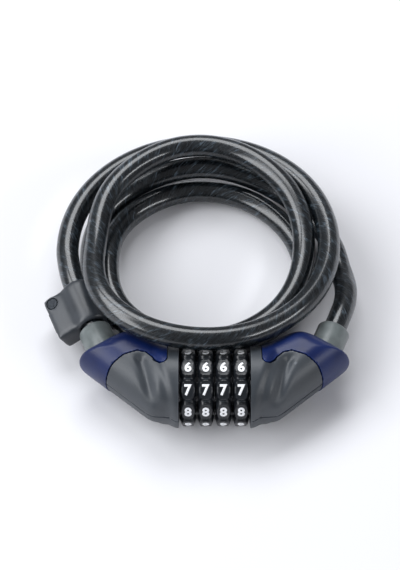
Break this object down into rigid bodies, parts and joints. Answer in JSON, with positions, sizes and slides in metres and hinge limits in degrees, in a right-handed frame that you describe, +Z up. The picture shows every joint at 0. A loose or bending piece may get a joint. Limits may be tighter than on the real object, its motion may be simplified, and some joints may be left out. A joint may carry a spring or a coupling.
{
  "type": "cable lock",
  "caption": "Coiled steel cable lock with a combination head: number dials between two angled halves, and a carrying bracket on the cable.",
  "frame": {"origin": "under the middle of the head, on the surface that the lock lies on", "axes": "+X along the dials towards the plug half, +Y from the head towards the coiled cable, +Z up"},
  "size_m": [0.1399, 0.1554, 0.0415],
  "materials": {
    "casing": "satin graphite paint with fine grain",
    "trim": "satin navy blue",
    "collar": "smooth mid grey",
    "dial": "polished black with white numerals",
    "zinc": "die-cast zinc, matt",
    "steel": "zinc-plated steel",
    "cable_skin": "smoky see-through PVC over the strands",
    "cable_strand": "twisted steel strands",
    "bracket": "moulded nylon, dark grey",
    "insert": "moulded nylon, black"
  },
  "bodies": {
    "lock_body": {"lock_shell_upper": "casing", "lock_shell_lower": "casing", "lock_trim": "trim", "lock_collar": "collar", "lock_crimp": "steel", "lock_screw_1": "steel", "lock_screw_2": "steel", "lock_barrel": "zinc", "barrel_clip": "steel", "detent_spring": "steel", "cable_jacket": "cable_skin", "cable_core": "cable_strand"},
    "dial_1": {"dial_ring_1": "dial", "code_sleeve_1": "zinc"},
    "dial_2": {"dial_ring_2": "dial", "code_sleeve_2": "zinc"},
    "dial_3": {"dial_ring_3": "dial", "code_sleeve_3": "zinc"},
    "dial_4": {"dial_ring_4": "dial", "code_sleeve_4": "zinc"},
    "plug": {"plug_shell_upper": "casing", "plug_shell_lower": "casing", "plug_trim": "trim", "plug_collar": "collar", "plug_crimp": "steel", "plug_screw_1": "steel", "plug_screw_2": "steel", "locking_pin": "steel", "pin_retainer": "zinc"},
    "bracket": {"bracket_clip": "bracket", "bracket_insert": "insert", "bracket_screw": "steel"}
  },
  "joints": [
    {"name": "dial_1_turn", "type": "hinge", "parent": "lock_body", "child": "dial_1", "pos_m": [-0.01125, -0.0072, 0.017], "axis": [1, 0, 0], "continuous": true},
    {"name": "dial_2_turn", "type": "hinge", "parent": "lock_body", "child": "dial_2", "pos_m": [-0.00375, -0.0072, 0.017], "axis": [1, 0, 0], "continuous": true},
    {"name": "dial_3_turn", "type": "hinge", "parent": "lock_body", "child": "dial_3", "pos_m": [0.00375, -0.0072, 0.017], "axis": [1, 0, 0], "continuous": true},
    {"name": "dial_4_turn", "type": "hinge", "parent": "lock_body", "child": "dial_4", "pos_m": [0.01125, -0.0072, 0.017], "axis": [1, 0, 0], "continuous": true},
    {"name": "plug_pull", "type": "slide", "parent": "lock_body", "child": "plug", "axis": [1, 0, 0], "range_m": [0, 0.036], "deforming": ["cable_jacket", "cable_core"]},
    {"name": "bracket_swivel", "type": "hinge", "parent": "lock_body", "child": "bracket", "pos_m": [-0.05727, 0.03426, 0.017], "axis": [-0.3746, 0.9272, 0], "range_deg": [0, 90]}
  ]
}
